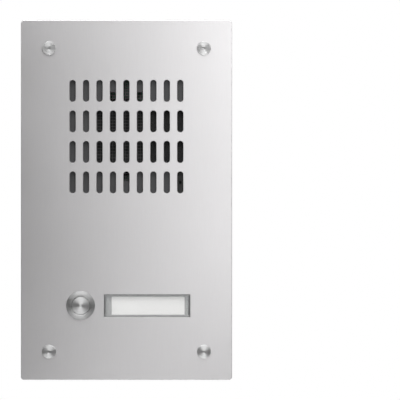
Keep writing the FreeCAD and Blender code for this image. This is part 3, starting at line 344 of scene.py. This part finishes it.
def felted_can():
    """The microphone's aluminium can, with a disc of black felt glued on its face."""
    f = Finish("felted_can", (0.72, 0.72, 0.73), 0.34, 1.0)
    parts = f.node("ShaderNodeSeparateXYZ", {"Vector": f.at})
    on_face = f.maths("LESS_THAN", parts.outputs["Y"], MICROPHONE_FELT_BACK)
    lines = f.noise(1, 2, f.stretched(6000, 350, 6000))
    fibres = f.noise(4200, 4, None, 1.2)
    aluminium = f.tones(lines, (0.72, 0.72, 0.73), 0.06)
    felt = f.tones(fibres, (0.012, 0.012, 0.012), 0.5)
    f.set("Base Color", f.mix(on_face, aluminium, felt))
    f.set("Metallic", f.span(on_face, 1, 0))
    f.set("Roughness", f.span(on_face, 0.34, 0.95))
    f.relief(fibres, 0.02 * MM)
    return f.material


def wound_copper():
    """Enamelled wire wound in even turns along the coil."""
    colour = (0.55, 0.23, 0.10)
    f = Finish("wound_copper", colour, 0.25, 0.9, coat_weight=0.5, coat_roughness=0.15)
    turns = f.bands("Y", 0.22 * MM, 0.3)
    varnish = f.noise(900, 3)
    f.set("Base Color", f.mix(f.maths("MULTIPLY", turns, varnish), (0.25, 0.09, 0.04), colour))
    f.set("Roughness", f.span(varnish, 0.18, 0.36, 0.3, 0.7))
    f.relief(turns, 0.08 * MM)
    return f.material


def laminations():
    """Stack of varnished steel sheets, seen as close lines on the core."""
    colour = (0.17, 0.155, 0.14)
    f = Finish("laminations", colour, 0.42, 0.4, coat_weight=0.35, coat_roughness=0.3)
    sheets = f.bands("Z", 0.45 * MM, 0.25)
    rust = f.noise(700, 4)
    darker = f.mix(f.span(sheets, 0, 1, 0.2, 0.8), (0.06, 0.055, 0.05), colour)
    f.set("Base Color", f.mix(f.span(rust, 0, 0.5, 0.55, 0.8), darker, (0.24, 0.13, 0.07)))
    f.set("Roughness", f.span(rust, 0.34, 0.58, 0.3, 0.7))
    f.relief(sheets, 0.06 * MM)
    return f.material


# ---------------------------------------------------------------------------
# Plastics, rubber, foam and paper


def moulded(name, colour, roughness, grain=2600, depth=0.02 * MM, **values):
    """Moulded plastic: spark-eroded grain, slight colour drift and a little uneven gloss."""
    f = Finish(name, colour, roughness, **values)
    drift = f.noise(55, 3)
    skin = f.noise(grain, 2)
    dust = f.noise(700, 4, uneven=0.4)
    tone = f.tones(f.span(drift, 0, 1, 0.3, 0.7), colour, 0.08)
    pale = tuple(min(1.0, channel * 1.25 + 0.008) for channel in colour)
    f.set("Base Color", f.mix(f.span(dust, 0, 0.35, 0.55, 0.8), tone, pale))
    f.set("Roughness", f.span(f.maths("ADD", skin, dust), roughness - 0.08, roughness + 0.08, 0.7, 1.3))
    f.relief(skin, depth)
    return f.material


def rubber(name, colour):
    """Matte moulded rubber with bloom: a pale cloudy film and a fine orange-peel skin."""
    f = Finish(name, colour, 0.72, specular_ior_level=0.25)
    bloom = f.noise(240, 4, uneven=0.8)
    peel = f.noise(1900, 2)
    bloomed = tuple(channel + 0.035 for channel in colour)
    f.set("Base Color", f.mix(f.span(bloom, 0, 0.7, 0.45, 0.75), colour, bloomed))
    f.set("Roughness", f.span(f.maths("ADD", bloom, peel), 0.60, 0.84, 0.7, 1.3))
    f.relief(peel, 0.03 * MM)
    return f.material


def foam(name, colour, cell, depth):
    """Foam cut across its cells: round pits with thin walls between."""
    f = Finish(name, colour, 0.92, specular_ior_level=0.2)
    pits = f.cells(1 / cell)
    wall = f.cells(1 / cell, feature="DISTANCE_TO_EDGE")
    crumbs = f.noise(2.5 / cell, 2)
    rim = tuple(channel * 2.2 + 0.01 for channel in colour)
    f.set("Base Color", f.mix(f.span(wall, 0.8, 0.0, 0.0, 0.12), colour, rim))
    f.set("Roughness", f.span(crumbs, 0.85, 0.98, 0.3, 0.7))
    f.relief(pits, depth)
    f.relief(crumbs, depth / 3)
    return f.material


def woven(name, dark, light, pitch, depth, roughness=0.8):
    """Cloth of crossed threads that runs across X and Z, with odd threads thicker."""
    f = Finish(name, light, roughness, specular_ior_level=0.3)
    warp = f.bands("X", pitch, 0.15)
    weft = f.bands("Z", pitch, 0.15)
    threads = f.maths("MAXIMUM", warp, weft)
    slubs = f.noise(1, 2, f.stretched(0.6 / pitch, 0.6 / pitch, 0.1 / pitch))
    f.set("Base Color", f.mix(f.maths("MULTIPLY", threads, f.span(slubs, 0.6, 1.1, 0.3, 0.7)), dark, light))
    f.set("Roughness", f.span(slubs, roughness - 0.1, roughness + 0.1, 0.3, 0.7))
    f.relief(threads, depth)
    return f.material


def pressed_paper():
    """Dark pressed pulp: tangled fibres that lie flat on the cone."""
    colour = (0.045, 0.045, 0.047)
    f = Finish("pressed_paper", colour, 0.88, specular_ior_level=0.25)
    fibres = f.noise(1500, 5, uneven=2.5)
    blotches = f.noise(180, 3)
    f.set("Base Color", f.mix(f.span(fibres, 0, 1, 0.45, 0.8), colour, (0.11, 0.105, 0.10)))
    f.set("Roughness", f.span(blotches, 0.80, 0.95, 0.3, 0.7))
    f.relief(fibres, 0.05 * MM)
    return f.material


def stoved_paint():
    """Black stoved paint: orange peel, and grey where it has rubbed thin."""
    colour = (0.028, 0.028, 0.03)
    f = Finish("stoved_paint", colour, 0.38, coat_weight=0.3, coat_roughness=0.25)
    peel = f.noise(800, 2)
    rub = f.noise(300, 5, uneven=1.0)
    f.set("Base Color", f.mix(f.span(rub, 0, 0.8, 0.62, 0.78), colour, (0.16, 0.16, 0.165)))
    f.set("Roughness", f.span(f.maths("ADD", peel, rub), 0.30, 0.50, 0.7, 1.3))
    f.relief(peel, 0.03 * MM)
    return f.material


def sintered_ferrite():
    """Ground ferrite: a fine dark grain with small glassy chips."""
    colour = (0.05, 0.05, 0.054)
    f = Finish("sintered_ferrite", colour, 0.5, 0.25)
    grain = f.noise(2800, 3)
    chips = f.cells(900)
    f.set("Base Color", f.tones(grain, colour, 0.35))
    f.set("Roughness", f.span(f.maths("ADD", grain, chips), 0.28, 0.62, 0.5, 1.3))
    f.relief(f.span(chips, 0, 1, 0.05, 0.3), 0.03 * MM)
    f.relief(grain, 0.01 * MM)
    return f.material


def insulation(name, colour):
    """PVC-covered lead: waxy, with faint extrusion ripple and handling marks."""
    f = Finish(name, colour, 0.38, coat_weight=0.2, coat_roughness=0.3)
    ripple = f.noise(1400, 2)
    marks = f.noise(330, 4, uneven=1.2)
    f.set("Base Color", f.tones(f.span(marks, 0, 1, 0.3, 0.7), colour, 0.16))
    f.set("Roughness", f.span(f.maths("ADD", ripple, marks), 0.28, 0.52, 0.7, 1.3))
    f.relief(ripple, 0.02 * MM)
    return f.material


def circuit_laminate():
    """Glass-fibre board: glossy green resist over tracks that stand a hair proud of the weave."""
    base = (0.012, 0.115, 0.05)
    f = Finish("circuit_laminate", base, 0.28, coat_weight=0.6, coat_roughness=0.12)
    lanes = f.cells(260, "Distance", "F1", f.stretched(1, 0, 1), "CHEBYCHEV")
    tracks = f.span(f.maths("ABSOLUTE", f.maths("SUBTRACT", lanes, 0.32)), 1.0, 0.0, 0.05, 0.08)
    glass = f.maths("MULTIPLY", f.bands("X", 0.9 * MM), f.bands("Z", 0.9 * MM))
    under = f.tones(glass, base, 0.18)
    f.set("Base Color", f.mix(tracks, under, (0.03, 0.23, 0.10)))
    f.set("Roughness", f.span(f.noise(500, 3), 0.20, 0.36, 0.3, 0.7))
    f.relief(tracks, 0.035 * MM)
    f.relief(glass, 0.006 * MM)
    return f.material


def woven_wire():
    """Black-coated wire: satin coating with dust on it and bare spots where wires rub."""
    colour = (0.090, 0.090, 0.091)
    f = Finish("woven_wire", colour, 0.42, specular_ior_level=0.6)
    dust = f.noise(1100, 4)
    coat = f.noise(5200, 2)
    f.set("Base Color", f.mix(f.span(dust, 0, 0.6, 0.45, 0.75), colour, (0.16, 0.16, 0.155)))
    f.set("Roughness", f.span(coat, 0.32, 0.55, 0.3, 0.7))
    f.relief(coat, 0.01 * MM)
    return f.material


def capacitor_sleeve():
    """Shrink sleeve on a can: glossy dark film with soft ripples."""
    colour = (0.025, 0.03, 0.06)
    f = Finish("capacitor_sleeve", colour, 0.25, coat_weight=0.5, coat_roughness=0.1)
    ripple = f.noise(1, 2, f.stretched(500, 900, 500))
    crinkle = f.noise(2200, 2)
    f.set("Base Color", f.tones(ripple, colour, 0.3))
    f.set("Roughness", f.span(f.maths("ADD", ripple, crinkle), 0.16, 0.38, 0.7, 1.3))
    f.relief(ripple, 0.03 * MM)
    return f.material


def clear_acrylic():
    """Polished clear block: mostly see-through, with hairline wipe marks in its gloss."""
    f = Finish("clear_acrylic", (0.93, 0.95, 0.95), 0.06, alpha=0.16, ior=1.49)
    wipes = f.noise(1, 3, f.stretched(120, 4000, 4000), 0.4)
    haze = f.noise(70, 3)
    f.set("Base Color", f.tones(haze, (0.93, 0.95, 0.95), 0.03))
    f.set("Roughness", f.span(f.maths("ADD", wipes, haze), 0.03, 0.12, 0.7, 1.3))
    f.relief(wipes, 0.0015 * MM)
    return f.material


def smooth_card():
    """White name card: short fibres and a faintly uneven white."""
    colour = (0.69, 0.68, 0.67)
    f = Finish("smooth_card", colour, 0.7, specular_ior_level=0.35)
    fibres = f.noise(1, 4, f.stretched(2600, 2600, 900), 1.5)
    clouds = f.noise(90, 3)
    f.set("Base Color", f.tones(f.maths("MULTIPLY", f.maths("ADD", fibres, clouds), 0.5), colour, 0.03))
    f.set("Roughness", f.span(fibres, 0.62, 0.80, 0.3, 0.7))
    f.relief(fibres, 0.008 * MM)
    return f.material


def finishes():
    """Material slot of the record to the finish that is drawn for it."""
    return {
        "plate_steel": satin_plate(),
        "zinc_steel": plated_steel("zinc_plate", (0.55, 0.56, 0.58), 0.33),
        "galvanised_steel": galvanised(),
        "spring_steel": spring_wire(),
        "seal_foam": foam("closed_cell_foam", (0.022, 0.022, 0.022), 0.5 * MM, 0.05 * MM),
        "black_rubber": rubber("black_rubber", (0.02, 0.02, 0.02)),
        "dark_abs": moulded("dark_abs", (0.034, 0.034, 0.036), 0.52),
        "cover_abs": moulded("cover_abs", (0.09, 0.09, 0.095), 0.50, 1600, 0.03 * MM),
        "black_foam": foam("open_cell_foam", (0.010, 0.010, 0.010), 0.9 * MM, 0.25 * MM),
        "basket_paint": stoved_paint(),
        "surround_cloth": woven(
            "surround_cloth", (0.015, 0.015, 0.016), (0.05, 0.05, 0.055), 0.35 * MM, 0.03 * MM
        ),
        "cone_paper": pressed_paper(),
        "coil_copper": wound_copper(),
        "spider_cloth": woven("spider_cloth", (0.22, 0.12, 0.03), (0.52, 0.33, 0.12), 0.5 * MM, 0.05 * MM),
        "ferrite": sintered_ferrite(),
        "brass": bright_brass(),
        "lead_red": insulation("lead_red", (0.42, 0.025, 0.02)),
        "lead_blue": insulation("lead_blue", (0.025, 0.07, 0.38)),
        "lead_black": insulation("lead_black", (0.025, 0.025, 0.025)),
        "lead_white": insulation("lead_white", (0.72, 0.72, 0.69)),
        "can_aluminium": drawn_can(),
        "board_green": circuit_laminate(),
        "terminal_grey": moulded("terminal_grey", (0.30, 0.31, 0.31), 0.45, 1500, 0.02 * MM),
        "core_steel": laminations(),
        "relay_blue": moulded("relay_blue", (0.03, 0.10, 0.36), 0.30, 900, 0.015 * MM, coat_weight=0.3),
        "capacitor_sleeve": capacitor_sleeve(),
        "chip_black": moulded("chip_epoxy", (0.028, 0.028, 0.028), 0.60, 3500, 0.03 * MM),
        "trimmer_blue": moulded("trimmer_blue", (0.04, 0.14, 0.44), 0.32, 1200, 0.01 * MM),
        "trimmer_white": moulded("trimmer_white", (0.78, 0.78, 0.74), 0.42, 1200, 0.02 * MM),
        "socket_cream": moulded("socket_nylon", (0.76, 0.72, 0.60), 0.40, 1100, 0.015 * MM),
        "switch_black": moulded("switch_body", (0.024, 0.024, 0.024), 0.42, 1500, 0.02 * MM),
        "clear_lens": clear_acrylic(),
        "label_paper": smooth_card(),
        "holder_grey": moulded("holder_grey", (0.11, 0.11, 0.11), 0.50),
        "opal": moulded("opal_diffuser", (0.84, 0.84, 0.83), 0.45, 1400, 0.01 * MM),
        "lamp_white": moulded("lamp_package", (0.82, 0.82, 0.74), 0.30, 1800, 0.008 * MM, coat_weight=0.4),
        "black_mesh": woven_wire(),
    }


def dress_nodes(made):
    """Puts each CAD node's finish on it. Turned parts get one drawn about their own axis."""
    own = {
        "panel_screws": turned_steel("turned_screws", about_screws),
        "button_bezel": turned_steel("turned_bezel", about_button, (0.52, 0.52, 0.52)),
        "button_cap": turned_steel("turned_cap", about_button),
        "microphone": felted_can(),
    }
    for row in frame["record"]["subparts"]:
        node = frame["nodes"][row["node"]]
        finish = own.get(row["node"]) or made[row["material_slot"]]
        for place in node.material_slots:
            place.material = finish


# ---------------------------------------------------------------------------
# Sound mesh

WEAVE_PITCH = 2.0 * MM
WIRE_RADIUS = 0.12 * MM
WIRE_SIDES = 6
STEPS_PER_PITCH = 6
HEM_WIDTH = 2.0 * MM
HOLE_RADIUS = 2.7 * MM
EYELET_RADIUS = 3.9 * MM
EYELET_CORNERS = 40
SPEAKER_HEAD_RADIUS = 3.5 * MM
SHARP_EDGE = math.radians(65)


def ring_of_points(centre, side, radius, sides):
    """Points on a circle in the plane of that side direction and the depth."""
    points = []
    for step in range(sides):
        turn = 2 * math.pi * step / sides
        points.append(centre + (side * math.cos(turn) + Vector((0, 1, 0)) * math.sin(turn)) * radius)
    return points


class Drawing:
    """Points and faces gathered for one mesh."""

    def __init__(self):
        self.points = []
        self.faces = []

    def tube(self, rings):
        """A tube through the rings of points, closed at both ends."""
        first = len(self.points)
        sides = len(rings[0])
        for ring in rings:
            self.points.extend(ring)
        for row in range(len(rings) - 1):
            for step in range(sides):
                following = (step + 1) % sides
                a = first + row * sides
                b = a + sides
                self.faces.append((a + step, a + following, b + following, b + step))
        self.faces.append(tuple(first + step for step in reversed(range(sides))))
        last = first + (len(rings) - 1) * sides
        self.faces.append(tuple(last + step for step in range(sides)))

    def wire(self, path, side):
        """A round wire along the path. side is the direction across it in the plane of the weave."""
        self.tube([ring_of_points(place, side, WIRE_RADIUS, WIRE_SIDES) for place in path])

    def band(self, outer, inner, front, rear):
        """A flat closed band between two outlines with the same number of corners."""
        first = len(self.points)
        count = len(outer)
        for outline, y in ((outer, front), (inner, front), (inner, rear), (outer, rear)):
            for x, z in outline:
                self.points.append(Vector((x, y, z)))
        for level in range(4):
            here = first + level * count
            there = first + (level + 1) % 4 * count
            for corner in range(count):
                following = (corner + 1) % count
                self.faces.append((here + corner, here + following, there + following, there + corner))

    def piece(self, name, finish):
        mesh = bpy.data.meshes.new(name)
        mesh.from_pydata(self.points, [], self.faces)
        shape = bmesh.new()
        shape.from_mesh(mesh)
        bmesh.ops.recalc_face_normals(shape, faces=shape.faces)
        shape.to_mesh(mesh)
        shape.free()
        mesh.shade_smooth()
        mesh.set_sharp_from_angle(angle=SHARP_EDGE)
        mesh.materials.append(finish)
        made = bpy.data.objects.new(name, mesh)
        bpy.context.scene.collection.objects.link(made)
        return made


def runs_clear_of(holes, path):
    """The stretches of a path that stay outside the holes."""
    runs = []
    run = []
    for place in path:
        if any(math.hypot(place.x - x, place.z - z) < EYELET_RADIUS - WIRE_RADIUS * 3 for x, z in holes):
            if len(run) > 1:
                runs.append(run)
            run = []
        else:
            run.append(place)
    if len(run) > 1:
        runs.append(run)
    return runs


def weave(drawing, low, high, holes):
    """Two sets of wires that pass over and under each other in turn."""
    middle = (low + high) / 2
    for along, across, start_phase in ((2, 0, 0), (0, 2, 1)):
        side = Vector((1, 0, 0)) if across == 0 else Vector((0, 0, 1))
        count = int((high[across] - low[across] - HEM_WIDTH) / WEAVE_PITCH)
        steps = int((high[along] - low[along] - HEM_WIDTH) / WEAVE_PITCH) * STEPS_PER_PITCH
        for index in range(count):
            offset = (index - (count - 1) / 2) * WEAVE_PITCH
            path = []
            for step in range(steps + 1):
                distance = (step - steps / 2) * WEAVE_PITCH / STEPS_PER_PITCH
                crossing = math.pi * (step / STEPS_PER_PITCH + index + start_phase)
                place = middle.copy()
                place[across] += offset
                place[along] += distance
                place.y += WIRE_RADIUS * math.cos(crossing)
                path.append(place)
            for run in runs_clear_of(holes, path):
                drawing.wire(run, side)


def make_sound_mesh(finish):
    """Woven wire with a pressed hem and an eyelet round each speaker screw."""
    low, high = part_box("sound_mesh")
    screw_low, screw_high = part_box("speaker_screws")
    holes = [
        (x, z)
        for x in (screw_low.x + SPEAKER_HEAD_RADIUS, screw_high.x - SPEAKER_HEAD_RADIUS)
        for z in (screw_low.z + SPEAKER_HEAD_RADIUS, screw_high.z - SPEAKER_HEAD_RADIUS)
    ]
    drawing = Drawing()
    weave(drawing, low, high, holes)
    outer = [(low.x, low.z), (high.x, low.z), (high.x, high.z), (low.x, high.z)]
    inset = HEM_WIDTH
    inner = [
        (low.x + inset, low.z + inset),
        (high.x - inset, low.z + inset),
        (high.x - inset, high.z - inset),
        (low.x + inset, high.z - inset),
    ]
    drawing.band(outer, inner, low.y, high.y)
    turns = [2 * math.pi * corner / EYELET_CORNERS for corner in range(EYELET_CORNERS)]
    circle = [(math.cos(turn), math.sin(turn)) for turn in turns]
    for x, z in holes:
        rim = [(x + EYELET_RADIUS * c, z + EYELET_RADIUS * s) for c, s in circle]
        hole = [(x + HOLE_RADIUS * c, z + HOLE_RADIUS * s) for c, s in circle]
        drawing.band(rim, hole, low.y, high.y)
    made = drawing.piece("woven_sound_mesh", finish)
    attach(made, "station")
    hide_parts("sound_mesh")


# ---------------------------------------------------------------------------
# Return spring

SPRING_COIL = 4.2 * MM
SPRING_WIRE = 0.35 * MM
SPRING_FRONT = -46.9 * MM
SPRING_BACK = -41.4 * MM
SPRING_TURNS = 5
SPRING_END_RISE = 0.75 * MM                    # rise of the closed turn at each end
SPRING_SIDES = 10
STEPS_PER_TURN = 40


def make_return_spring(finish):
    """The call button's spring, closed at both ends."""
    x, z = BUTTON_AXIS
    open_rise = (SPRING_BACK - SPRING_FRONT - 2 * SPRING_END_RISE) / (SPRING_TURNS - 2)
    y = SPRING_FRONT
    rings = []
    for step in range(SPRING_TURNS * STEPS_PER_TURN + 1):
        turn = step / STEPS_PER_TURN
        outwards = Vector((math.cos(2 * math.pi * turn), 0, math.sin(2 * math.pi * turn)))
        centre = Vector((x, y, z)) + outwards * SPRING_COIL
        rings.append(ring_of_points(centre, outwards, SPRING_WIRE, SPRING_SIDES))
        closed = turn < 1 or turn >= SPRING_TURNS - 1
        y += (SPRING_END_RISE if closed else open_rise) / STEPS_PER_TURN
    drawing = Drawing()
    drawing.tube(rings)
    spring = drawing.piece("return_spring", finish)
    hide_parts("button_spring")
    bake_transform(spring)


# ---------------------------------------------------------------------------
# Studio


def make_camera():
    data = bpy.data.cameras.new("camera")
    data.sensor_width = SENSOR_WIDTH
    data.lens = SENSOR_WIDTH * CAMERA_DISTANCE / FRAME_WIDTH
    data.clip_start = NEAREST_SEEN
    data.clip_end = FARTHEST_SEEN
    camera = bpy.data.objects.new("camera", data)
    panel_low, panel_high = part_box("front_panel")
    middle = (panel_low + panel_high) / 2
    camera.location = (middle.x + CAMERA_X, panel_low.y - CAMERA_DISTANCE, middle.z)
    camera.rotation_euler = (math.radians(90), 0, 0)
    bpy.context.scene.collection.objects.link(camera)
    bpy.context.scene.camera = camera


def make_world():
    """White behind the object, and an even grey for whatever the metal mirrors."""
    world = bpy.data.worlds.new("studio")
    world.use_nodes = True
    bpy.context.scene.world = world
    tree = world.node_tree
    background = tree.nodes["Background"]
    path = tree.nodes.new("ShaderNodeLightPath")
    level = tree.nodes.new("ShaderNodeMapRange")
    level.inputs["To Min"].default_value = WORLD_GREY
    level.inputs["To Max"].default_value = WORLD_SEEN
    tree.links.new(path.outputs["Is Camera Ray"], level.inputs["Value"])
    tree.links.new(level.outputs["Result"], background.inputs["Strength"])
    background.inputs["Color"].default_value = (1, 1, 1, 1)


def make_lights():
    """Area lights. Those named panel face the plate squarely, and the softboxes aim at its middle."""
    for name, place, width, height, radiance in LIGHTS:
        data = bpy.data.lights.new(name, "AREA")
        data.shape = "RECTANGLE"
        data.size = width
        data.size_y = height
        data.energy = radiance * math.pi * width * height
        light = bpy.data.objects.new(name, data)
        light.location = place
        light.visible_camera = False
        aim = Vector((0, 1, 0))
        if name.endswith("softbox"):
            aim = Vector((0, cad_low.y, 0)) - Vector(place)
        light.rotation_euler = aim.to_track_quat("-Z", "Y").to_euler()
        bpy.context.scene.collection.objects.link(light)


def make_floor():
    """Pale floor that fades out all round, before it meets the background."""
    reach = FLOOR_REACH
    corners = [(-reach, -reach), (reach, -reach), (reach, reach), (-reach, reach)]
    mesh = bpy.data.meshes.new("floor")
    mesh.from_pydata([(x, y, FLOOR_Z) for x, y in corners], [], [(0, 1, 2, 3)])
    f = Finish("pale_floor", (0.82, 0.82, 0.82), 0.6)
    speckle = f.noise(300, 3)
    f.set("Base Color", f.tones(speckle, (0.82, 0.82, 0.82), 0.02))
    distance = f.node("ShaderNodeVectorMath", {0: f.at}, operation="LENGTH").outputs["Value"]
    f.set("Alpha", f.span(distance, 1.0, 0.0, FLOOR_SOLID, reach))
    mesh.materials.append(f.material)
    floor = bpy.data.objects.new("floor", mesh)
    bpy.context.scene.collection.objects.link(floor)


def set_view():
    view = bpy.context.scene.view_settings
    view.view_transform = "Standard"
    view.look = "None"
    view.exposure = 0
    view.gamma = 1


made = finishes()
dress_nodes(made)
make_sound_mesh(made["black_mesh"])
make_return_spring(made["spring_steel"])
make_camera()
make_world()
make_lights()
make_floor()
set_view()
